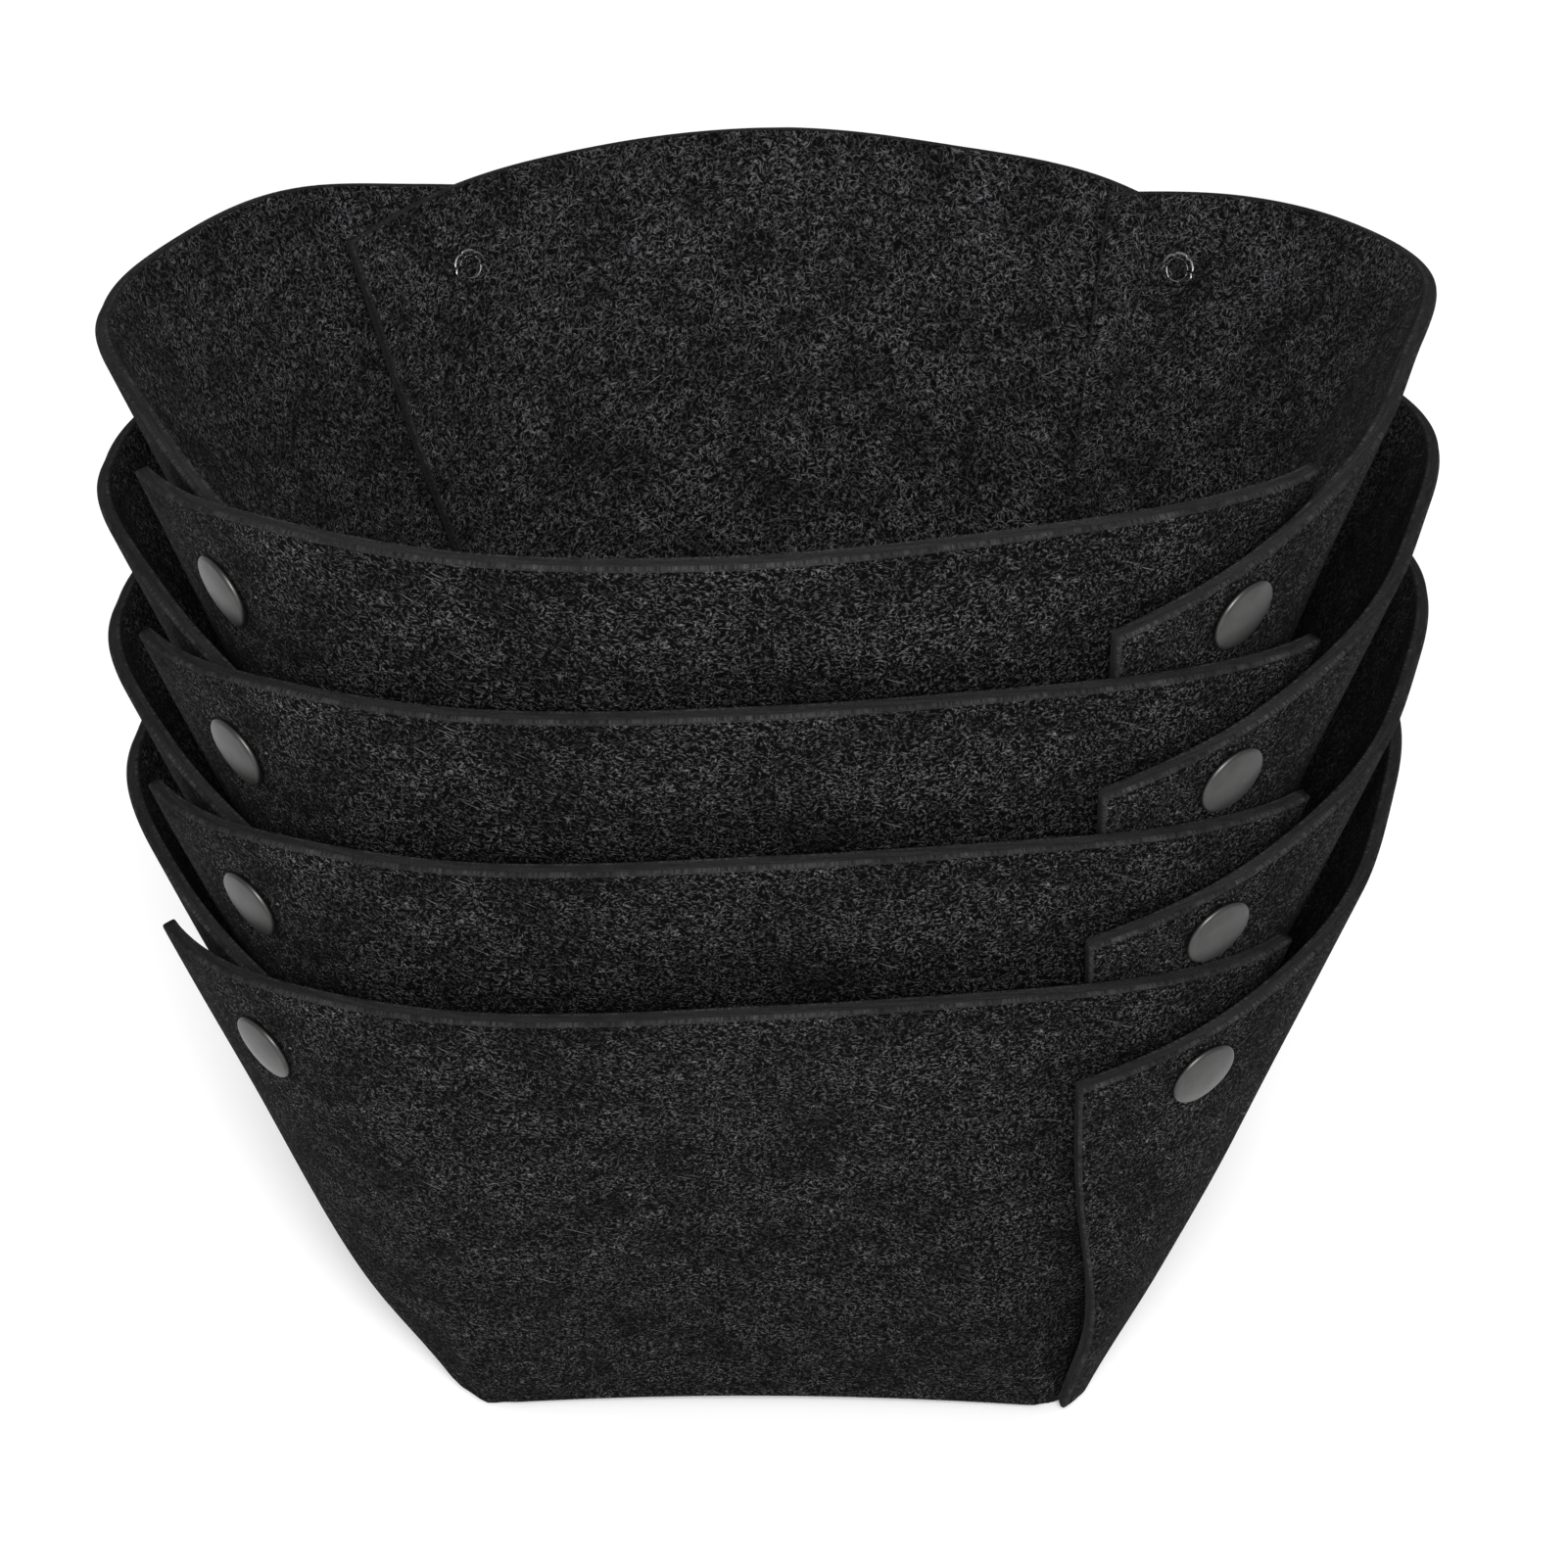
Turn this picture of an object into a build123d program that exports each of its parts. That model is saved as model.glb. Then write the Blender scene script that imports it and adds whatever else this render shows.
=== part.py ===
from build123d import *
import os
from math import atan, cos, degrees, radians, sin, sqrt

# Nested stack of four square felt grow bags, each closed at its corners by press studs.
# Bag 4 stands on the floor with its four flaps as separate pieces that swing open.

# Stack
BAGS = 4
NEST_PITCH = 32.9

# Wall shape: a rounded square at the base that becomes a circle at TOP_LEVEL
BASE_HALF = 70.0
BASE_CORNER = 8.0
TOP_RADIUS = 138.7
TOP_LEVEL = 142.0
LOFT_TOP = 141.0
FELT = 3.0

# Corner laps, as turns (degrees) around the corner from the straight part of a wall
LAP_GAP = 2.9
LAP_RAMP = 26.0
FLAP_EDGE = 64.8
FLAP_HINGE = 30.0
TUCKED_EDGE = 51.8
HINGE_GAP = 0.5
ARC_STEPS = 14

# Height of the top edge at turns across one wall, from the flap's free corner to the tucked corner
RIM_FLAP = [(FLAP_EDGE, 120.0), (50.0, 127.0), (36.0, 134.0), (18.0, 136.5)]
RIM_CENTRE = 138.0
RIM_TUCKED = [(18.0, 137.0), (36.0, 133.0), (TUCKED_EDGE, 126.0)]

# Corners a to d, as the angle of the wall that carries the flap, and each one's press stud
# as its turn around the corner and its height
CORNERS = {"a": -90, "b": 0, "c": 90, "d": 180}
STUDS = {"a": (46.5, 114.0), "b": (51.0, 114.5), "c": (48.0, 114.5), "d": (54.5, 109.5)}

# Press stud parts: radii, and heights along the stud's axis
CAP_RADIUS = 7.5
CAP_HEIGHT = 2.1
CAP_SINK = 0.3
CAP_DOME = 18.4
SHANK_RADIUS = 1.25
SHANK_HEAD = 2.0
SHANK_CRIMP = 0.3
SOCKET_FLANGE = 6.2
SOCKET_CUP = 5.2
SOCKET_BORE = 3.7
SOCKET_DEPTH = 2.5
STUD_FLANGE = 5.6
STUD_HEAD = 3.3
STUD_NECK = 2.9
STUD_WAIST = 1.2
STUD_HEIGHT = 2.5
STUD_HOLLOW = 2.0
POST_FLANGE = 4.4
POST_TUBE = 1.95
POST_BORE = 1.4
POST_SPREAD = 1.9
POST_HOLLOW = 1.5
POST_PROUD = 0.1
METAL = 0.8
FIT = 0.05
SEAT_FIT = 0.1
SPRING_GAP = 0.15

# Distances from the middle between the two layers of a lap
LAP = (FELT + LAP_GAP) / 2
OUTER_FACE = LAP + FELT / 2
INNER_FACE = LAP - FELT / 2
ROOF = INNER_FACE + SPRING_GAP
FLANGE = -INNER_FACE - SPRING_GAP


def straight(level):
    """Half length of the straight part of a wall at this level."""
    return (BASE_HALF - BASE_CORNER) * (1 - level / TOP_LEVEL)


def arc_radius(level):
    """Radius of the rounded corner at this level."""
    return BASE_CORNER + (TOP_RADIUS - BASE_CORNER) * level / TOP_LEVEL


def lean(turn):
    """Outward run of the wall for each millimetre of rise."""
    inward = (BASE_HALF - BASE_CORNER) * (cos(radians(turn)) + sin(radians(turn)))
    return (TOP_RADIUS - BASE_CORNER - inward) / TOP_LEVEL


def lap(turn):
    """How far a wall has moved out over, or in under, its neighbour at this turn."""
    share = min(turn / LAP_RAMP, 1.0)
    return LAP * share * share * (3 - 2 * share)


def wall_point(side, turn, level, depth):
    """Point of the wall that faces +X; side -1 carries the flap, side +1 is tucked in."""
    offset = (depth - side * lap(turn)) * sqrt(1 + lean(turn) ** 2)
    radius = arc_radius(level) + offset
    x = straight(level) + radius * cos(radians(turn))
    y = straight(level) + radius * sin(radians(turn))
    return Vector(x, side * y, level)


def arc(side, first, last, level, depth):
    """Curve along one corner between two turns."""
    turns = [first + (last - first) * i / ARC_STEPS for i in range(ARC_STEPS + 1)]
    return Spline(*[wall_point(side, turn, level, depth) for turn in turns])


def hinge_turn(level, gap):
    """Turn of a cut that keeps a constant distance from the flap's fold line."""
    return FLAP_HINGE + degrees(gap / arc_radius(level))


def flap_section(level):
    """Outline of a flap at one level."""
    first = hinge_turn(level, HINGE_GAP / 2)
    outer = arc(-1, first, FLAP_EDGE, level, FELT / 2)
    inner = arc(-1, FLAP_EDGE, first, level, -FELT / 2)
    return Wire([outer, Line(outer @ 1, inner @ 0), inner, Line(inner @ 1, outer @ 0)])


def wall_section(level, flap_end):
    """Outline of a wall at one level, from the turn where it ends on the flap side."""
    outer_flap = arc(-1, flap_end, 0, level, FELT / 2)
    outer_tuck = arc(1, 0, TUCKED_EDGE, level, FELT / 2)
    inner_tuck = arc(1, TUCKED_EDGE, 0, level, -FELT / 2)
    inner_flap = arc(-1, 0, flap_end, level, -FELT / 2)
    return Wire([
        outer_flap,
        Line(outer_flap @ 1, outer_tuck @ 0),
        outer_tuck,
        Line(outer_tuck @ 1, inner_tuck @ 0),
        inner_tuck,
        Line(inner_tuck @ 1, inner_flap @ 0),
        inner_flap,
        Line(inner_flap @ 1, outer_flap @ 0),
    ])


def below_rim():
    """Block that keeps what lies below the arched top edge of the wall facing +X."""
    crest = [wall_point(-1, turn, height, 0) for turn, height in RIM_FLAP]
    crest += [Vector(0, 0, RIM_CENTRE)]
    crest += [wall_point(1, turn, height, 0) for turn, height in RIM_TUCKED]
    line = [Vector(0, point.Y, point.Z) for point in crest]
    first, last = line[0], line[-1]
    beyond_flap = first + (first - line[1])
    beyond_tuck = last + (last - line[-2])
    curve = Spline(*[beyond_flap, *line, beyond_tuck])
    low = -1.0
    sides = Polyline(
        curve @ 1,
        Vector(0, beyond_tuck.Y, low),
        Vector(0, beyond_flap.Y, low),
        curve @ 0,
    )
    return extrude(Face(Wire([curve, *sides.edges()])), amount=2 * TOP_RADIUS, dir=(1, 0, 0))


def stud_plane(turn, level):
    """Plane between the two layers at a press stud of the wall facing +X, facing outwards."""
    out = Vector(cos(radians(turn)), -sin(radians(turn)), -lean(turn))
    across = Vector(sin(radians(turn)), cos(radians(turn)), 0)
    x = straight(level) + arc_radius(level) * cos(radians(turn))
    y = straight(level) + arc_radius(level) * sin(radians(turn))
    return Plane(origin=(x, -y, level), x_dir=across, z_dir=out)


def disc(radius, low, high):
    """Cylinder along the stud axis between two depths."""
    return Pos(0, 0, low) * extrude(Circle(radius), amount=high - low)


def cap():
    """Domed cap with its shank, crimped behind the socket."""
    low = OUTER_FACE - CAP_SINK
    dome = Pos(0, 0, low + CAP_HEIGHT - CAP_DOME) * Sphere(CAP_DOME)
    head = disc(CAP_RADIUS, low, low + CAP_HEIGHT) & dome
    shank = disc(SHANK_RADIUS, ROOF - FIT, low)
    crimp = disc(SHANK_HEAD, ROOF - FIT - SHANK_CRIMP, ROOF - FIT)
    return head + shank + crimp


def socket():
    """Cup that grips the stud, with its flange against the flap."""
    mouth = ROOF - SOCKET_DEPTH
    body = disc(SOCKET_FLANGE, ROOF, ROOF + METAL) + disc(SOCKET_CUP, mouth, ROOF)
    return body - disc(SOCKET_BORE, mouth, ROOF) - disc(SHANK_RADIUS + FIT, ROOF, ROOF + METAL)


def stud():
    """Hollow stud with a bulged head, standing on the outside of the tucked wall."""
    body = disc(STUD_FLANGE, FLANGE - METAL, FLANGE)
    body += disc(STUD_NECK, FLANGE, FLANGE + STUD_WAIST)
    body += disc(STUD_HEAD, FLANGE + STUD_WAIST, FLANGE + STUD_HEIGHT)
    return body - disc(POST_TUBE + FIT, FLANGE - METAL, FLANGE + STUD_HOLLOW)


def post():
    """Tubular post whose rolled ring lies on the inside of the tucked wall."""
    low = -OUTER_FACE - POST_PROUD
    ring = disc(POST_FLANGE, low, low + METAL)
    ring = fillet(ring.edges().group_by(Axis.Z)[0], METAL * 0.45)
    tube = disc(POST_TUBE, low + METAL, FLANGE + POST_SPREAD)
    return ring + tube - disc(POST_BORE, low, FLANGE + POST_HOLLOW)


def flap_seats():
    """Felt pressed away in the flap for the cap, its shank and the socket."""
    seat = disc(CAP_RADIUS + SEAT_FIT, OUTER_FACE - CAP_SINK, OUTER_FACE + FELT)
    seat += disc(SOCKET_FLANGE + SEAT_FIT, 0, ROOF + METAL + FIT)
    return seat + disc(SHANK_RADIUS + FIT, INNER_FACE, OUTER_FACE)


def wall_seats():
    """Felt pressed away in the tucked wall for the stud and the post."""
    seat = disc(STUD_FLANGE + SEAT_FIT, FLANGE - METAL - FIT, 0)
    seat += disc(POST_FLANGE + SEAT_FIT, -OUTER_FACE - FELT, -OUTER_FACE - POST_PROUD + METAL + FIT)
    return seat + disc(POST_TUBE + FIT, -OUTER_FACE, -INNER_FACE)


def at_stud(corner, shape):
    """Shape moved from the stud axis to a corner's press stud."""
    return Rot(0, 0, CORNERS[corner]) * (stud_plane(*STUDS[corner]).location * shape)


def solid(first, last):
    """Straight-ruled solid between two outlines."""
    return Solid.make_loft([first, last], True)


def around(shape, angle):
    """Shape turned about the bag's upright axis."""
    return Rot(0, 0, angle) * shape


def base_plate():
    """Square base with rounded corners."""
    return extrude(RectangleRounded(2 * BASE_HALF, 2 * BASE_HALF, BASE_CORNER), amount=FELT)


def flap_piece(corner, rim, seats):
    """One flap as a separate solid, closed position."""
    blank = solid(flap_section(0), flap_section(LOFT_TOP)) & rim
    return around(blank, CORNERS[corner]) - at_stud(corner, seats)


def wall_blank(rim, with_flap):
    """One wall, with its flap in one piece or ending at the fold line."""
    if with_flap:
        low, high = FLAP_EDGE, FLAP_EDGE
    else:
        low, high = (hinge_turn(level, -HINGE_GAP / 2) for level in (0, LOFT_TOP))
    return solid(wall_section(0, low), wall_section(LOFT_TOP, high)) & rim


def felt(wall, seats):
    """Base and four walls as one piece of felt, with its seats at all four corners."""
    piece = base_plate()
    for angle in CORNERS.values():
        piece = piece + around(wall, angle)
    for corner in CORNERS:
        for seat in seats:
            piece = piece - at_stud(corner, seat)
    return piece


def group(shape):
    """The same metal part at all four corners."""
    return Compound(children=[at_stud(corner, shape) for corner in CORNERS])


def write(name, shape, bag):
    """Export one node at the height of its bag; bag 1 is the innermost and highest."""
    placed = Pos(0, 0, (BAGS - bag) * NEST_PITCH) * shape
    export_step(placed, f"parts/bag_{bag}_{name}.step")


def write_nested_bags(rim, metal):
    """The bags inside the bottom one, each with its flaps in one piece with its walls."""
    closed_felt = felt(wall_blank(rim, True), [flap_seats(), wall_seats()])
    for bag in range(1, BAGS):
        write("felt", closed_felt, bag)
        for name, shape in metal.items():
            write(name + "s", group(shape), bag)


def write_bottom_bag(rim, metal):
    """The bag that stands on the floor, with flaps that open and their caps and sockets."""
    write("felt", felt(wall_blank(rim, False), [wall_seats()]), BAGS)
    write("studs", group(metal["stud"]), BAGS)
    write("posts", group(metal["post"]), BAGS)
    for corner in CORNERS:
        write("flap_" + corner, flap_piece(corner, rim, flap_seats()), BAGS)
        write("cap_" + corner, at_stud(corner, metal["cap"]), BAGS)
        write("socket_" + corner, at_stud(corner, metal["socket"]), BAGS)


os.makedirs("parts", exist_ok=True)
top_edge = below_rim()
press_stud = {"cap": cap(), "socket": socket(), "stud": stud(), "post": post()}
write_nested_bags(top_edge, press_stud)
write_bottom_bag(top_edge, press_stud)
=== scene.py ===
"""Nested stack of four felt grow bags: felt blanks, press studs, floor, light and camera."""

import math

import bpy
import numpy as np
from mathutils import Matrix, Vector


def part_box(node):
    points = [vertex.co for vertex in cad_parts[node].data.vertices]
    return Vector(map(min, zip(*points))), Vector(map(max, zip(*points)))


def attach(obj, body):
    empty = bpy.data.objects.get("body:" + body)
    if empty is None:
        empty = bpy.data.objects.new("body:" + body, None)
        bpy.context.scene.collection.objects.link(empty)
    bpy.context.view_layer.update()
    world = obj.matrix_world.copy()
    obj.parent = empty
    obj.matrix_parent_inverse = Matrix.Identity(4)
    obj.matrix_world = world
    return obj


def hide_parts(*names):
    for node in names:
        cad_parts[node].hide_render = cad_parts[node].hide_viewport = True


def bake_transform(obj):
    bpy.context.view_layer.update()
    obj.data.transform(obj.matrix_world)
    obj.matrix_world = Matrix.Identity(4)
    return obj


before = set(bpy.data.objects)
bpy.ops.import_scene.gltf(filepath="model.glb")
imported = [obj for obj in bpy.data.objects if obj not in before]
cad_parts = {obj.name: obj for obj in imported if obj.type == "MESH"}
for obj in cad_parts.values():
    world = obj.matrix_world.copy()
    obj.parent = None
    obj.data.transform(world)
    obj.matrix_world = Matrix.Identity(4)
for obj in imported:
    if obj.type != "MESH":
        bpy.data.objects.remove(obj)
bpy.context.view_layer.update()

MM = 0.001

# Bag shape, in metres, as the CAD has it
BAGS = 4
BASE_HALF = 70 * MM
BASE_NARROW = 0.04
BASE_NARROW_LEVEL = 75 * MM
BASE_SHIFT = 2 * MM
BASE_SHIFT_LEVEL = 100 * MM
BASE_CORNER = 8 * MM
TOP_RADIUS = 138.7 * MM
TOP_LEVEL = 142 * MM
FELT = 3 * MM
LAP = 2.95 * MM
LAP_AT_BASE = 1.5 * MM
LAP_LEVEL = 40 * MM
LAP_RAMP = {-1: (12, 38), 1: (0, 25)}
FLAP_EDGE = 64.8
TUCKED_EDGE = 51.8
RIM_TURNS = (-64.8, -50, -36, -18, 0, 18, 36, 51.8)
RIM_LEVELS = (120, 127, 134, 136.5, 138, 137, 133, 126)
CORNERS = {"a": -90, "b": 0, "c": 90, "d": 180}
STUDS = {"a": (46.5, 114), "b": (51, 114.5), "c": (48, 114.5), "d": (54.5, 109.5)}
BAG_LEVEL = {bag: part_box(f"bag_{bag}_felt")[0][2] for bag in range(1, BAGS + 1)}

# How each wall's top edge differs from the pattern: raised, tilted and arched, in millimetres;
# rounded from a fit of the outline
RIM_CHANGE = {"a": (4, 2, 1), "b": (1, 2.5, -1.5), "c": (-4, 0.5, 0), "d": (-2.5, -6, -0.5)}

# How far each bag is pushed out of round at the rim, in millimetres: all round, then
# the cosine and sine of one, two and three waves; the last two waves are common to all;
# rounded from a fit of the outline
SWAY = {
    1: (0, (-0.5, -3.5), (1.5, 1.5), (0.5, 4)),
    2: (1.5, (0, -1), (4, 1), (0.5, 2)),
    3: (1.5, (0, 0), (5, 1), (0.5, 0.5)),
    4: (1.5, (-0.5, 2), (3, 1.5), (0, -1)),
}
SHARED_SWAY = ((0, 1.5), (-1.5, 2))
SWAY_LEVEL = 120 * MM

# Felt details
EDGE_ROUND = 0.7 * MM
FOLD_RUN = 4.5 * MM
COLUMNS = 141
ROWS = 72
FOLD_ROWS = 7
BASE_CELLS = 48
BASE_BOW = 2.4 * MM
STUD_PRESS = 0.34
STUD_PRESS_REACH = 9 * MM
FLAP_TIP_LIFT = 2.2 * MM
LOOSE_BULGE = 4.0 * MM
LOOSE_LEVEL = 38 * MM
LOOSE_SPREAD = 30 * MM
LOOSE_RECESS = 2.5
BOW_START = 0.45
BOW_RUN = 0.6
BOW_LEVEL = 50 * MM
RIPPLE = 0.35
TIP_TURN, TIP_RUN = 15, 45
FREE_TURN, FREE_RUN = 38, 27
FOLD_TURN = 22
EDGE_STEPS = ((0.35, 0.12), (0.08, 0.42), (0.0, 1.0))


def smooth(t):
    """Eased step from 0 to 1."""
    t = np.clip(t, 0.0, 1.0)
    return t * t * (3 - 2 * t)


def straight(level):
    """Half the straight part of a wall at a level."""
    return (BASE_HALF - BASE_CORNER) * (1 - level / TOP_LEVEL)


def arc_radius(level):
    """Radius of the rounded corners at a level."""
    return BASE_CORNER + (TOP_RADIUS - BASE_CORNER) * level / TOP_LEVEL


def lean(turn):
    """Outward slope of the felt at a turn."""
    inward = (BASE_HALF - BASE_CORNER) * (np.cos(turn) + np.sin(turn))
    return (TOP_RADIUS - BASE_CORNER - inward) / TOP_LEVEL


def polar(turn, level):
    """Angle about the bag's axis of a turn around the corner."""
    a, r = straight(level), arc_radius(level)
    return np.arctan2(a + r * np.sin(turn), a + r * np.cos(turn))


def sway(theta, level, bag):
    """Outward push at a direction from the bag's axis."""
    even, *waves = SWAY[bag]
    push = even + 0 * theta
    for count, (along, across) in enumerate((*waves, *SHARED_SWAY), 1):
        push = push + along * np.cos(count * theta) + across * np.sin(count * theta)
    return MM * push * smooth(level / SWAY_LEVEL)


def outward(turn):
    """Unit normal of the wall facing +X; the turn is negative on the flap side."""
    out = np.stack([np.cos(turn), np.sin(turn), -lean(np.abs(turn))], -1)
    return out / np.linalg.norm(out, axis=-1, keepdims=True)


def lap_offset(side, turn, level):
    """How far a wall has moved out over, or in under, its neighbour; side -1 is the flap."""
    full = LAP_AT_BASE + (LAP - LAP_AT_BASE) * smooth(level / LAP_LEVEL)
    ramps = {}
    for one, (start, end) in LAP_RAMP.items():
        ramps[one] = smooth((np.degrees(turn) - start) / (end - start))
    return full * np.where(side < 0, ramps[-1], -ramps[1])


def wall_middle(phi, level, angle=0, bag=BAGS):
    """Middle of the felt at a polar angle, for the wall facing +X, and the turn there."""
    a, r = straight(level), arc_radius(level)
    side, p = np.sign(phi), np.abs(phi)
    lateral = (a + r) * np.tan(np.minimum(p, 1.2))
    flat = lateral <= a
    reach = a * (np.cos(p) + np.sin(p))
    reach = reach + np.sqrt(np.maximum(r**2 - (a * (np.cos(p) - np.sin(p))) ** 2, 0))
    turn = np.arctan2(reach * np.sin(p) - a, reach * np.cos(p) - a)
    turn = np.where(flat, 0.0, turn)
    off = lap_offset(side, turn, level) * np.sqrt(1 + lean(turn) ** 2)
    x = a + (r + off) * np.cos(turn)
    y = side * np.where(flat, lateral, a + (r + off) * np.sin(turn))
    middle = np.stack([x, y, level + 0 * x], -1)
    push = sway(phi + math.radians(angle), level, bag)
    return middle + push[..., None] * outward(side * turn), side * turn


def hermite(x, xs, ys):
    """Smooth curve through a few points."""
    xs, ys = np.asarray(xs, float), np.asarray(ys, float)
    slope = np.gradient(ys, xs)
    i = np.clip(np.searchsorted(xs, x) - 1, 0, len(xs) - 2)
    w = xs[i + 1] - xs[i]
    t = np.clip((x - xs[i]) / w, 0, 1)
    h = [2 * t**3 - 3 * t**2 + 1, t**3 - 2 * t**2 + t, -2 * t**3 + 3 * t**2, t**3 - t**2]
    return h[0] * ys[i] + h[1] * w * slope[i] + h[2] * ys[i + 1] + h[3] * w * slope[i + 1]


def rim_level(turn, corner):
    """Height of a wall's top edge at a turn."""
    raised, tilted, arched = RIM_CHANGE[corner]
    share = np.degrees(turn) / 60
    change = raised + tilted * share + arched * (share**2 - 0.4)
    return MM * (hermite(np.degrees(turn), RIM_TURNS, RIM_LEVELS) + change)


def base_bow(x, y):
    """How far the middle of each base edge stands off the floor."""
    half = BASE_HALF - BASE_CORNER
    near_x = smooth((np.abs(x) / half - BOW_START) / BOW_RUN)
    near_y = smooth((np.abs(y) / half - BOW_START) / BOW_RUN)
    side_x = np.clip(1 - (y / half) ** 2, 0, 1) * near_x
    side_y = np.clip(1 - (x / half) ** 2, 0, 1) * near_y
    return BASE_BOW * (side_x + side_y)


def lap_point(corner, bag, turn, level):
    """Point midway between the two layers of a lap, seen from the wall facing +X."""
    a, r = straight(level), arc_radius(level)
    place = np.array([a + r * math.cos(turn), -(a + r * math.sin(turn)), level])
    theta = math.atan2(place[1], place[0]) + math.radians(CORNERS[corner])
    return place + sway(np.array(theta), level, bag) * outward(np.array(-turn))


def stud_frame(corner, bag):
    """Place and directions of a press stud on the wall facing +X: across, up and out."""
    turn, level = math.radians(STUDS[corner][0]), STUDS[corner][1] * MM
    place = lap_point(corner, bag, turn, level)
    across = Vector(lap_point(corner, bag, turn - 0.01, level) - place).normalized()
    up = Vector(lap_point(corner, bag, turn, level + MM) - place)
    out = across.cross(up).normalized()
    up = out.cross(across)
    return Matrix.Translation(place) @ Matrix((across, up, out)).transposed().to_4x4()


def ripple(turn, share, level):
    """Soft waves of a felt wall that has been folded by hand."""
    calm = np.cos(np.clip(np.abs(turn) / math.radians(40), 0, 1) * math.pi / 2) ** 2
    wave = RIPPLE * np.sin(8.0 * share + 1.3) * np.sin(38 * level + 0.4)
    return MM * calm * wave * smooth(level / (30 * MM))


class Shell:
    """Vertices, faces, material numbers and cloth coordinates of a closed sheet."""

    def __init__(self):
        self.points, self.faces, self.marks, self.cloth = [], [], [], []
        self.count = 0

    def add(self, points, cloth):
        """Stores points and gives the number of the first."""
        start = self.count
        self.points.append(np.asarray(points).reshape(-1, 3))
        self.cloth.append(np.asarray(cloth).reshape(-1, 2))
        self.count += len(self.points[-1])
        return start

    def sheet(self, middle, normal, thick, cloth):
        """Closes a grid of middle points into felt with rounded cut edges."""
        nu, nv = middle.shape[:2]
        mu, mv = nu - 2, nv - 2
        core, up = middle[1:-1, 1:-1], normal[1:-1, 1:-1]
        half = (thick / 2)[1:-1, 1:-1, None]
        outer = self.add(core + half * up, cloth[1:-1, 1:-1])
        inner = self.add(core - half * up, cloth[1:-1, 1:-1] + 7.0)
        cells = np.arange(mu * mv).reshape(mu, mv)
        quads = np.stack([cells[:-1, :-1], cells[1:, :-1], cells[1:, 1:], cells[:-1, 1:]], -1)
        quads = quads.reshape(-1, 4)
        self.faces.append(quads + outer)
        self.marks.append(np.zeros(len(quads), int))
        self.faces.append(quads[:, ::-1] + inner)
        self.marks.append(np.ones(len(quads), int))
        ring = [(i, 0) for i in range(mu - 1)] + [(mu - 1, j) for j in range(mv - 1)]
        ring += [(i, mv - 1) for i in range(mu - 1, 0, -1)] + [(0, j) for j in range(mv - 1, 0, -1)]
        ring = np.array(ring)
        i, j = ring[:, 0], ring[:, 1]
        ei = np.where(i == 0, 0, np.where(i == mu - 1, nu - 1, i + 1))
        ej = np.where(j == 0, 0, np.where(j == mv - 1, nv - 1, j + 1))
        edge, near = middle[ei, ej], middle[i + 1, j + 1]
        n, half = normal[ei, ej], thick[ei, ej][:, None] / 2
        rows = [outer + cells[i, j]]
        for inset, drop in EDGE_STEPS:
            spot = edge + inset * (near - edge) + n * (half - drop * EDGE_ROUND)
            rows.append(self.add(spot, cloth[ei, ej]) + np.arange(len(i)))
        for inset, drop in reversed(EDGE_STEPS):
            spot = edge + inset * (near - edge) - n * (half - drop * EDGE_ROUND)
            rows.append(self.add(spot, cloth[ei, ej] + 0.02) + np.arange(len(i)))
        rows.append(inner + cells[i, j])
        for a, b in zip(rows, rows[1:]):
            strip = np.stack([a, b, np.roll(b, -1), np.roll(a, -1)], -1)
            self.faces.append(strip)
            self.marks.append(np.full(len(strip), 2))

    def turned(self, angle):
        """The same sheet turned about the bag's axis."""
        c, s = math.cos(math.radians(angle)), math.sin(math.radians(angle))
        other = Shell()
        turn = np.array([[c, s, 0], [-s, c, 0], [0, 0, 1]])
        other.points = [p @ turn for p in self.points]
        other.cloth = [uv + [0.37 * angle / 90, 0.21 * angle / 90] for uv in self.cloth]
        other.faces, other.marks, other.count = self.faces, self.marks, self.count
        return other

    def joined(self, *others):
        """One mesh of several sheets."""
        whole = Shell()
        for one in (self, *others):
            whole.points += one.points
            whole.cloth += one.cloth
            whole.faces += [f + whole.count for f in one.faces]
            whole.marks += one.marks
            whole.count += one.count
        return whole

    def build(self, name, materials, lift):
        """Makes the Blender object."""
        points = np.concatenate(self.points) + [0, 0, lift]
        faces = np.concatenate(self.faces)
        mesh = bpy.data.meshes.new(name)
        mesh.from_pydata(points.tolist(), [], faces.tolist())
        for material in materials:
            mesh.materials.append(material)
        mesh.polygons.foreach_set("material_index", np.concatenate(self.marks).astype(np.int32))
        mesh.polygons.foreach_set("use_smooth", np.ones(len(faces), bool))
        layer = mesh.uv_layers.new(name="cloth")
        uv = np.concatenate(self.cloth)[faces.ravel()]
        layer.data.foreach_set("uv", uv.astype(np.float32).ravel())
        mesh.validate()
        piece = bpy.data.objects.new(name, mesh)
        bpy.context.scene.collection.objects.link(piece)
        return piece


def grid_normals(middle):
    """Unit normals of a grid of points, pointing out of the bag."""
    across = np.gradient(middle, axis=0)
    along = np.gradient(middle, axis=1)
    normal = np.cross(across, along)
    return normal / np.maximum(np.linalg.norm(normal, axis=-1, keepdims=True), 1e-12)


def near_stud(middle, corner, bag):
    """How much the press studs squeeze the felt, from 0 to 1."""
    following = next(c for c in CORNERS if (CORNERS[c] - CORNERS[corner]) % 360 == 90)
    squeeze = np.zeros(middle.shape[:2])
    for name, angle in ((corner, 0), (following, 90)):
        place = Matrix.Rotation(math.radians(angle), 4, "Z") @ stud_frame(name, bag).translation
        away = np.linalg.norm(middle - np.array(place), axis=-1)
        squeeze = np.maximum(squeeze, np.exp(-((away / STUD_PRESS_REACH) ** 2)))
    return squeeze


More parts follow.
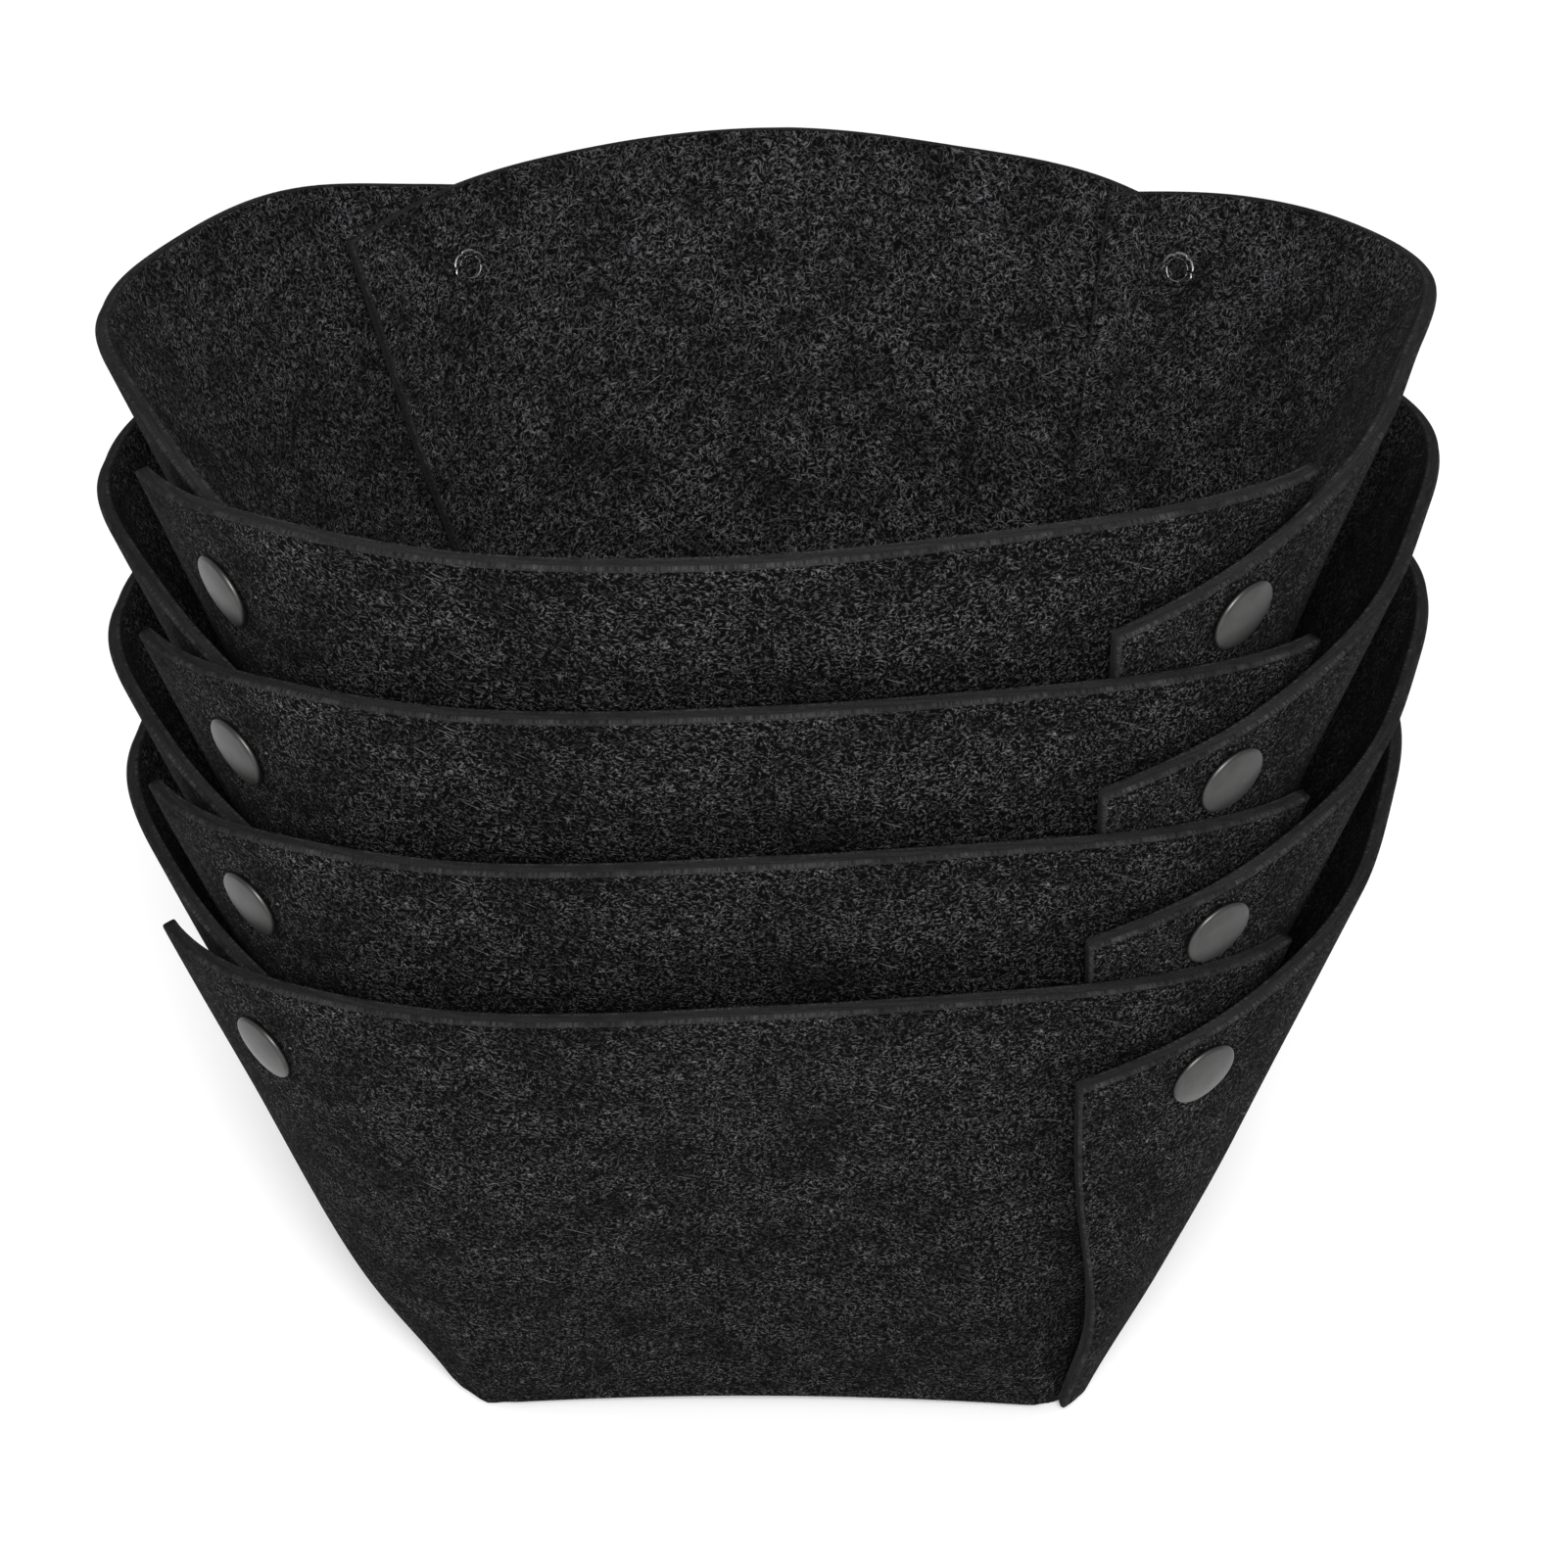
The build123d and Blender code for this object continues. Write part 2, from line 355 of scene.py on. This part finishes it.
def edge_first(count, inset, length):
    """Even steps from 0 to 1 with one short step at each end for the rounded edge."""
    inner = np.linspace(inset / length, 1 - inset / length, count - 2)
    return np.concatenate([[0.0], inner, [1.0]])


def loose_share(level):
    """How far up the wall the unfastened part of a flap stands off most."""
    return np.exp(-(((level - LOOSE_LEVEL) / LOOSE_SPREAD) ** 2)) * smooth(level / (8 * MM))


def wall_shell(corner, bag):
    """One wall, from the flap's free edge round to the tucked edge, turned to face +X."""
    loose = bag == BAGS
    angle = CORNERS[corner]
    share = edge_first(COLUMNS, EDGE_ROUND, 0.25)[:, None]
    rise = edge_first(ROWS, EDGE_ROUND, 0.13)[None, 1:]

    def column(level):
        edge = math.radians(FLAP_EDGE) - loose * math.radians(LOOSE_RECESS) * loose_share(level)
        return -polar(edge, level) * (1 - share) + polar(math.radians(TUCKED_EDGE), level) * share

    top = np.full((COLUMNS, 1), 0.13)
    for _ in range(6):
        middle, turn = wall_middle(column(top), top, angle, bag)
        top = rim_level(turn, corner)
    level = FOLD_RUN + (top - FOLD_RUN) * rise
    wall, turn = wall_middle(column(level), level, angle, bag)
    # The fold runs from the wall down to the floor and in under the base.
    low = np.full((COLUMNS, 1), FOLD_RUN)
    crown, _ = wall_middle(column(low), low, angle, bag)
    knee, turn0 = wall_middle(column(0 * low), 0 * low, angle, bag)
    tip = smooth((-turn0 - math.radians(TIP_TURN)) / math.radians(TIP_RUN))
    knee[..., 2] = FELT / 2 + FLAP_TIP_LIFT * tip
    reach = FOLD_RUN * (1 - smooth(np.abs(turn0) / math.radians(FOLD_TURN)))
    foot = knee.copy()
    foot[..., :2] -= reach[..., None] * np.stack([np.cos(turn0), np.sin(turn0)], -1)
    t = np.linspace(0, 1, FOLD_ROWS)[None, :-1, None]
    fold = foot * (1 - t) ** 2 + knee * 2 * t * (1 - t) + crown * t**2
    middle = np.concatenate([fold, crown, wall], axis=1)
    height = middle[..., 2].copy()
    middle[..., 2] += base_bow(middle[..., 0], middle[..., 1]) * (1 - smooth(height / BOW_LEVEL))
    turn = np.concatenate([np.repeat(turn0, FOLD_ROWS, 1), turn], axis=1)
    bulge = ripple(turn, share + 0 * height, height)
    if loose:
        free = smooth((-turn - math.radians(FREE_TURN)) / math.radians(FREE_RUN))
        bulge = bulge + LOOSE_BULGE * free * loose_share(height)
    middle = middle + bulge[..., None] * grid_normals(middle)
    middle = pull_base(middle, angle)
    normal = grid_normals(middle)
    thick = FELT * (1 - STUD_PRESS * near_stud(middle, corner, bag))
    along = np.cumsum(np.linalg.norm(np.diff(middle, axis=1, prepend=middle[:, :1]), axis=-1), 1)
    across = np.cumsum(np.linalg.norm(np.diff(middle, axis=0, prepend=middle[:1]), axis=-1), 0)
    across = across - across[COLUMNS // 2]
    shell = Shell()
    shell.sheet(middle, normal, thick, np.stack([across, along], -1))
    return shell


def pull_base(middle, angle):
    """Moves points near the floor: the base stands a little narrower and to one side."""
    c, s = math.cos(math.radians(angle)), math.sin(math.radians(angle))
    level = middle[..., 2]
    x = c * middle[..., 0] - s * middle[..., 1]
    change = BASE_SHIFT * (1 - smooth(level / BASE_SHIFT_LEVEL))
    change = change - BASE_NARROW * x * (1 - smooth(level / BASE_NARROW_LEVEL))
    return middle + change[..., None] * np.array([c, -s, 0])


def base_shell():
    """The square base between the folds."""
    half = BASE_HALF - FOLD_RUN
    flat = BASE_HALF - BASE_CORNER
    steps = (edge_first(BASE_CELLS, EDGE_ROUND, 2 * half) * 2 - 1) * half
    x, y = np.meshgrid(steps, steps, indexing="ij")
    dx, dy = np.abs(x) - flat, np.abs(y) - flat
    corner = (dx > 0) & (dy > 0)
    k = np.where(corner, np.maximum(dx, dy) / np.maximum(np.hypot(dx, dy), 1e-9), 1.0)
    x = np.where(corner, np.sign(x) * (flat + dx * k), x)
    y = np.where(corner, np.sign(y) * (flat + dy * k), y)
    middle = pull_base(np.stack([x, y, FELT / 2 + base_bow(x, y)], -1), 0)
    normal = -grid_normals(middle)
    normal = normal * np.sign(-normal[..., 2:3])
    shell = Shell()
    shell.sheet(middle[::-1], normal[::-1], np.full(x.shape, FELT), np.stack([x, y], -1)[::-1])
    return shell


# ---------------------------------------------------------------- materials

FIBRE_ANGLES = (8, 41, 79, 118, 152)
FIBRE_BEND = 2.4 * MM
BEND_SCALE = 300.0
PATCH_SCALE = 260.0
CLOUD_SCALE = 62.0
THIN_COVER = 0.28
HAIR_ANGLE = 33
HAIR_LENGTH = 11 * MM
HAIR_WIDTH = 0.42 * MM
FIBRE_RELIEF = 0.5 * MM
GRAIN_SCALE = 2600.0
GRAIN_RELIEF = 0.06 * MM
SMUDGE_SCALE = 320.0


def nodes_of(name):
    """New material with its node tree and shader."""
    material = bpy.data.materials.new(name)
    material.use_nodes = True
    tree = material.node_tree
    return material, tree, tree.nodes["Principled BSDF"]


def add(tree, kind, **values):
    """New node with its sockets and settings."""
    node = tree.nodes.new(kind)
    for key, value in values.items():
        if key in node.inputs:
            node.inputs[key].default_value = value
        else:
            setattr(node, key, value)
    return node


def maths(tree, operation, a, b):
    """Math node between sockets or numbers."""
    node = tree.nodes.new("ShaderNodeMath")
    node.operation = operation
    for slot, value in zip(node.inputs, (a, b)):
        if isinstance(value, (int, float)):
            slot.default_value = value
        else:
            tree.links.new(value, slot)
    return node.outputs[0]


def spread(tree, value, low, high, to_low=0.0, to_high=1.0):
    """Value rescaled smoothly from one range to another."""
    node = add(tree, "ShaderNodeMapRange", interpolation_type="SMOOTHSTEP")
    for key, number in zip(("From Min", "From Max", "To Min", "To Max"), (low, high, to_low, to_high)):
        node.inputs[key].default_value = number
    tree.links.new(value, node.inputs["Value"])
    return node.outputs[0]


def mapped(tree, coordinates, **values):
    """Coordinates turned, moved or scaled."""
    node = tree.nodes.new("ShaderNodeMapping")
    for key, value in values.items():
        node.inputs[key].default_value = value
    tree.links.new(coordinates, node.inputs["Vector"])
    return node.outputs[0]


def noise(tree, coordinates, scale, detail, output=0):
    """Noise of a given scale per metre."""
    node = add(tree, "ShaderNodeTexNoise", Scale=scale, Detail=detail, Roughness=0.55)
    tree.links.new(coordinates, node.inputs["Vector"])
    return node.outputs[output]


def wisps(tree, coordinates, angle, length, width, seed, low, high):
    """Short soft fibres that lie mostly one way."""
    place = (seed * 0.71, seed * 0.37, 0)
    turned = mapped(tree, coordinates, Rotation=(0, 0, math.radians(angle)), Location=place)
    drawn = mapped(tree, turned, Scale=(1 / length, 1 / width, 1))
    return spread(tree, noise(tree, drawn, 1.0, 1.0), low, high)


def felt(name, length, width, dark, light, tint, low, high):
    """Needle-punched felt: short crossed fibres over a dark ground, with cloudy patches."""
    material, tree, shader = nodes_of(name)
    cloth = add(tree, "ShaderNodeUVMap", uv_map="cloth").outputs[0]
    bend = add(tree, "ShaderNodeVectorMath", operation="MULTIPLY_ADD")
    bend.inputs[1].default_value = (FIBRE_BEND, FIBRE_BEND, 0)
    tree.links.new(noise(tree, cloth, BEND_SCALE, 1.0, "Color"), bend.inputs[0])
    tree.links.new(cloth, bend.inputs[2])
    crossed = None
    for seed, angle in enumerate(FIBRE_ANGLES, 1):
        layer = wisps(tree, bend.outputs[0], angle, length, width, seed, low, high)
        crossed = layer if crossed is None else maths(tree, "MAXIMUM", crossed, layer)
    patches = maths(tree, "MULTIPLY", noise(tree, cloth, PATCH_SCALE, 3.0), 0.5)
    clouds = maths(tree, "MULTIPLY", noise(tree, cloth, CLOUD_SCALE, 2.0), 0.5)
    density = spread(tree, maths(tree, "ADD", patches, clouds), 0.38, 0.62, THIN_COVER, 1.0)
    amount = maths(tree, "MULTIPLY", crossed, density)
    hairs = wisps(tree, cloth, HAIR_ANGLE, HAIR_LENGTH, HAIR_WIDTH, 9, 0.74, 0.8)
    amount = maths(tree, "MAXIMUM", amount, hairs)
    ramp = add(tree, "ShaderNodeValToRGB")
    start, end = ramp.color_ramp.elements
    start.color = (*[dark * t for t in tint], 1)
    end.color = (*[light * t for t in tint], 1)
    tree.links.new(amount, ramp.inputs[0])
    tree.links.new(ramp.outputs[0], shader.inputs["Base Color"])
    tree.links.new(spread(tree, amount, 0.0, 1.0, 1.0, 0.82), shader.inputs["Roughness"])
    shader.inputs["Specular IOR Level"].default_value = 0.02
    shader.inputs["Sheen Weight"].default_value = 0.003
    shader.inputs["Sheen Roughness"].default_value = 0.5
    bump = add(tree, "ShaderNodeBump", Strength=0.6, Distance=FIBRE_RELIEF)
    tree.links.new(amount, bump.inputs["Height"])
    tree.links.new(bump.outputs[0], shader.inputs["Normal"])
    return material


def metal(name, colour, roughness):
    """Pressed plated steel with a fine satin finish."""
    material, tree, shader = nodes_of(name)
    place = add(tree, "ShaderNodeTexCoord").outputs["Object"]
    grain = add(tree, "ShaderNodeTexNoise", Scale=GRAIN_SCALE, Detail=2.0)
    tree.links.new(place, grain.inputs["Vector"])
    smudge = add(tree, "ShaderNodeTexNoise", Scale=SMUDGE_SCALE, Detail=3.0)
    tree.links.new(place, smudge.inputs["Vector"])
    ramp = add(tree, "ShaderNodeValToRGB")
    ramp.color_ramp.elements[0].position = 0.3
    ramp.color_ramp.elements[1].position = 0.7
    ramp.color_ramp.elements[0].color = (*[c * 0.82 for c in colour], 1)
    ramp.color_ramp.elements[1].color = (*[c * 1.1 for c in colour], 1)
    tree.links.new(smudge.outputs[0], ramp.inputs[0])
    tree.links.new(ramp.outputs[0], shader.inputs["Base Color"])
    shader.inputs["Metallic"].default_value = 1.0
    rough = add(tree, "ShaderNodeMapRange")
    rough.inputs["To Min"].default_value = roughness - 0.06
    rough.inputs["To Max"].default_value = roughness + 0.1
    tree.links.new(grain.outputs[0], rough.inputs["Value"])
    tree.links.new(rough.outputs[0], shader.inputs["Roughness"])
    bump = add(tree, "ShaderNodeBump", Strength=0.12, Distance=GRAIN_RELIEF)
    tree.links.new(grain.outputs[0], bump.inputs["Height"])
    tree.links.new(bump.outputs[0], shader.inputs["Normal"])
    return material


# ---------------------------------------------------------------- press studs

OUTER_FACE = LAP + FELT / 2
INNER_GAP = LAP - FELT / 2
METAL_CLEARANCE = 0.15 * MM
ROOF = INNER_GAP + METAL_CLEARANCE
FLANGE = -INNER_GAP - METAL_CLEARANCE
CAP_RADIUS, CAP_ROLL, CAP_SINK = 7.5, 0.72, 0.3
CAP_SHANK = 1.25
SOCKET_BACK, SOCKET_ROLL, SOCKET_DEPTH = 0.8, 0.38, 2.1
STUD_BACK = 0.8
POST_PETALS = 6


def lathe(profile, steps=64, petals=0, petal_from=0.0, petal_cut=0.0):
    """Points and faces of a turned shape; petals notches the part beyond a radius."""
    profile = np.array(profile) * MM
    angle = np.linspace(0, 2 * np.pi, steps, endpoint=False)
    r, z = profile[:, 0][:, None], profile[:, 1][:, None]
    if petals:
        dent = np.maximum(0, np.cos(petals * angle)) ** 6
        out = smooth((r / MM - petal_from) / 0.6)
        r = r - petal_cut * MM * dent * out
    points = np.stack([r * np.cos(angle), r * np.sin(angle), z + 0 * r * angle], -1)
    count = len(profile)
    i, j = np.meshgrid(np.arange(count - 1), np.arange(steps), indexing="ij")
    k = (j + 1) % steps
    faces = np.stack([i * steps + j, i * steps + k, (i + 1) * steps + k, (i + 1) * steps + j], -1)
    return points.reshape(-1, 3), faces.reshape(-1, 4)


def curve(centre, radius, first, last, steps=6):
    """Points of a profile along an arc, in millimetres."""
    angles = np.radians(np.linspace(first, last, steps))
    return [(centre[0] + radius * math.cos(a), centre[1] + radius * math.sin(a)) for a in angles]


def cap_profile():
    """Domed cap with a rolled edge and its shank, from the top centre to the shank's end."""
    low = OUTER_FACE / MM - CAP_SINK
    roof = ROOF / MM
    dome = [(r, low + 2.05 - 0.62 * (r / 6.8) ** 2.4) for r in np.linspace(0.02, 6.5, 12)]
    roll = curve((CAP_RADIUS - CAP_ROLL, low + CAP_ROLL), CAP_ROLL, 78, -80, 9)
    under = [(6.2, low + 0.12), (1.9, low + 0.3), (CAP_SHANK, low + 0.1)]
    shank = [(CAP_SHANK, roof + 0.1)]
    rivet = [(2.0, roof - 0.05), (2.0, roof - 0.3), (0.02, roof - 0.34)]
    return dome + roll + under + shank + rivet


def socket_profile():
    """Spring socket: rolled flange, cup and mouth."""
    roof = ROOF / MM
    back, low = roof + SOCKET_BACK, roof - SOCKET_DEPTH
    flange = [(1.3, back), (5.6, back)] + curve((5.8, roof + 0.42), SOCKET_ROLL, 80, -80, 6)
    cup = [(5.25, roof - 0.05), (5.1, roof - 1.9)] + curve((4.75, low), SOCKET_ROLL, 0, -90, 5)
    mouth = curve((4.15, low), SOCKET_ROLL, -90, -180, 5)
    bore = [(3.85, roof - 1.2), (3.9, roof - 0.1), (1.3, roof)]
    return flange + cup + mouth + bore + [(1.3, back)]


def stud_profile():
    """Stud with its flange, waisted neck and bulged head."""
    low = FLANGE / MM
    back = low - STUD_BACK
    flange = [(2.0, back), (5.2, back)] + curve((5.25, low - 0.45), 0.33, -80, 80, 6)
    neck = [(3.4, low + 0.02), (2.85, low + 0.35), (2.8, low + 0.9)]
    head = curve((2.62, low + 1.75), 0.66, -60, 80, 7)
    crown = [(2.3, low + 2.42), (1.5, low + 2.3), (0.02, low + 2.2)]
    return flange + neck + head + crown


def post_profile():
    """Rolled ring with its open tube, on the inside of the wall."""
    face = -OUTER_FACE / MM
    ring = curve((3.25, face + 0.52), 0.62, 60, 300, 12)
    tube = [(2.55, face + 0.35), (2.0, face + 1.4), (1.95, face + 4.2)]
    bore = [(1.5, face + 4.2), (1.5, face + 1.0)]
    return [(4.15, face + 0.9), (4.35, face + 0.55), (4.2, face + 0.12)] + ring[3:9] + tube + bore


PROFILES = {"cap": cap_profile, "socket": socket_profile, "stud": stud_profile, "post": post_profile}


def fitting(kind, name, corners, bag, material):
    """One kind of press-stud part at some corners of a bag, as one object."""
    if kind == "post":
        points, faces = lathe(PROFILES[kind](), petals=POST_PETALS, petal_from=2.6, petal_cut=0.5)
    else:
        points, faces = lathe(PROFILES[kind]())
    lift = BAG_LEVEL[bag]
    all_points, all_faces = [], []
    for corner in corners:
        matrix = Matrix.Rotation(math.radians(CORNERS[corner]), 4, "Z") @ stud_frame(corner, bag)
        m = np.array(matrix)
        all_faces.append(faces + len(all_points) * len(points))
        all_points.append(points @ m[:3, :3].T + m[:3, 3] + [0, 0, lift])
    mesh = bpy.data.meshes.new(name)
    mesh.from_pydata(np.concatenate(all_points).tolist(), [], np.concatenate(all_faces).tolist())
    mesh.polygons.foreach_set("use_smooth", np.ones(len(mesh.polygons), bool))
    mesh.materials.append(material)
    mesh.validate()
    mesh.update()
    piece = bpy.data.objects.new(name, mesh)
    bpy.context.scene.collection.objects.link(piece)
    return piece


# ---------------------------------------------------------------- the object

felt_materials = [
    felt("felt_outside", 1.3 * MM, 0.52 * MM, 0.0008, 0.09, (1.0, 1.0, 1.0), 0.58, 0.8),
    # Inside faces: the same felt made lighter, which is painted fill light that brightens the inside
    # walls.
    felt("felt_inside_painted_fill", 1.8 * MM, 0.55 * MM, 0.002, 0.128, (0.98, 0.985, 1.03), 0.56, 0.82),
    # Cut edges: a finer, smoother felt face whose lighter ground is partly the cut felt's own look and
    # partly painted top light on the upward-facing rim band.
    felt("felt_cut_edge_painted_light", 0.9 * MM, 0.6 * MM, 0.0055, 0.036, (1.0, 1.0, 1.0), 0.42, 0.8),
]
cap_metal = metal("cap_satin_steel", (0.053, 0.053, 0.052), 0.4)
stud_metal = metal("stud_gunmetal", (0.17, 0.17, 0.17), 0.22)


def make_nested_bag(bag, base):
    """A closed bag held inside another, moving as one."""
    blank = base.joined(*[wall_shell(c, bag).turned(angle) for c, angle in CORNERS.items()])
    piece = blank.build(f"bag_{bag}_blank", felt_materials, BAG_LEVEL[bag])
    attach(piece, f"bag_{bag}")
    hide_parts(f"bag_{bag}_felt")
    for kind in PROFILES:
        material = cap_metal if kind == "cap" else stud_metal
        part = fitting(kind, f"bag_{bag}_{kind}_set", CORNERS, bag, material)
        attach(part, f"bag_{bag}")
        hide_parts(f"bag_{bag}_{kind}s")


def make_bottom_bag(base):
    """The bag that stands on the floor: its base and four walls as separate pieces, with the caps and
    sockets on flap bodies.
    """
    piece = base.build("bag_4_base", felt_materials, 0.0)
    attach(piece, "bag_4")
    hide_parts("bag_4_felt")
    for corner, angle in CORNERS.items():
        side = wall_shell(corner, BAGS).turned(angle)
        piece = side.build(f"bag_4_wall_{corner}", felt_materials, 0.0)
        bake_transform(piece)
        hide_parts(f"bag_4_flap_{corner}")
        for kind in ("cap", "socket"):
            material = cap_metal if kind == "cap" else stud_metal
            part = fitting(kind, f"bag_4_{kind}_{corner}_made", [corner], BAGS, material)
            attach(part, f"flap_{corner}")
            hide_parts(f"bag_4_{kind}_{corner}")
    for kind in ("stud", "post"):
        part = fitting(kind, f"bag_4_{kind}_set", CORNERS, BAGS, stud_metal)
        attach(part, "bag_4")
        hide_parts(f"bag_4_{kind}s")


base = base_shell()
for bag in range(1, BAGS):
    make_nested_bag(bag, base)
make_bottom_bag(base)


# ---------------------------------------------------------------- floor, light and camera

SENSOR = 36.0
FLOOR_REACH = 12.0


def make_floor():
    """Plain flat pale floor, wide enough to fill the view."""
    material, _, shader = nodes_of("pale_floor")
    shader.inputs["Base Color"].default_value = (0.94, 0.94, 0.94, 1)
    shader.inputs["Roughness"].default_value = 0.8
    mesh = bpy.data.meshes.new("floor")
    reach = FLOOR_REACH
    corners = [(-reach, -reach, 0), (reach, -reach, 0), (reach, reach, 0), (-reach, reach, 0)]
    mesh.from_pydata(corners, [], [(0, 1, 2, 3)])
    mesh.materials.append(material)
    floor = bpy.data.objects.new("floor", mesh)
    bpy.context.scene.collection.objects.link(floor)


def make_light(name, direction, strength, softness):
    """Soft parallel light from a direction."""
    lamp = bpy.data.lights.new(name, "SUN")
    lamp.energy = strength
    lamp.angle = math.radians(softness)
    holder = bpy.data.objects.new(name, lamp)
    holder.rotation_euler = Vector(direction).to_track_quat("Z", "Y").to_euler()
    bpy.context.scene.collection.objects.link(holder)


def make_panel(name, place, aim, side, power):
    """Square soft light turned to its aim."""
    lamp = bpy.data.lights.new(name, "AREA")
    lamp.energy = power
    lamp.size = side
    holder = bpy.data.objects.new(name, lamp)
    holder.location = place
    holder.rotation_euler = (Vector(place) - Vector(aim)).to_track_quat("Z", "Y").to_euler()
    bpy.context.scene.collection.objects.link(holder)


def make_world(strength):
    """Even white light from all round."""
    world = bpy.data.worlds.new("studio")
    world.use_nodes = True
    world.node_tree.nodes["Background"].inputs[0].default_value = (1, 1, 1, 1)
    world.node_tree.nodes["Background"].inputs[1].default_value = strength
    bpy.context.scene.world = world


def make_camera(azimuth, elevation, distance, focal_share, aim):
    """Camera on a sphere about its aim, azimuth 0 looking along +Y."""
    a, e = math.radians(azimuth), math.radians(elevation)
    back = Vector((math.sin(a) * math.cos(e), -math.cos(a) * math.cos(e), math.sin(e)))
    data = bpy.data.cameras.new("camera")
    data.sensor_width = SENSOR
    data.lens = SENSOR * focal_share
    camera = bpy.data.objects.new("camera", data)
    camera.location = Vector(aim) + back * distance
    camera.rotation_euler = back.to_track_quat("Z", "Y").to_euler()
    bpy.context.scene.collection.objects.link(camera)
    bpy.context.scene.camera = camera


make_floor()
bpy.context.scene.view_settings.view_transform = "Standard"
make_world(0.9)
make_light("front", direction=(0.12, -0.8, 0.62), strength=0.8, softness=22)
make_panel("front_panel", place=(0.03, -0.64, 0.47), aim=(0, 0, 0.12), side=0.2, power=5.5)
make_camera(azimuth=0.57, elevation=28.0, distance=0.671, focal_share=1.891, aim=(0.0034, 0, 0.121))
